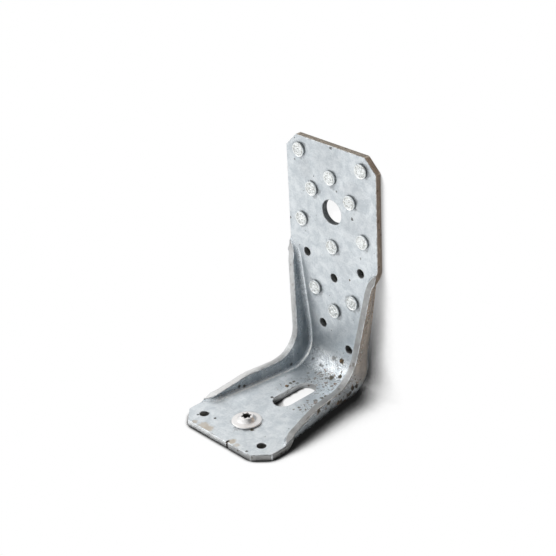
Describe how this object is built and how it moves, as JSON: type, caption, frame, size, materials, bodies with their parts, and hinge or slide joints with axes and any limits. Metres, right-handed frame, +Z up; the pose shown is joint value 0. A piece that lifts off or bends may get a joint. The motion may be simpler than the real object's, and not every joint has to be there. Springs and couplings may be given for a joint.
{
  "type": "angle bracket",
  "caption": "Galvanised steel angle bracket with waisted side flanges, nail holes, a bolt hole and a slotted base, held by connector nails and a washer-head screw.",
  "frame": {"origin": "middle of the corner line where the plane of the wall leg's back meets the plane of the base leg's underside", "axes": "+Z up along the wall leg, +Y out of the wall leg's back towards what it is fixed to, so the base leg runs towards -Y, and +X across the sheet, which is symmetric about x = 0"},
  "size_m": [0.065, 0.129, 0.196],
  "materials": {
    "galvanised_steel": "hot-dip galvanised, satin",
    "nail_zinc": "zinc plated, satin",
    "screw_zinc": "bright zinc plated"
  },
  "bodies": {
    "root": {"angle_bracket": "galvanised_steel", "connector_nails": "nail_zinc", "washer_head_screw": "screw_zinc"}
  },
  "joints": []
}
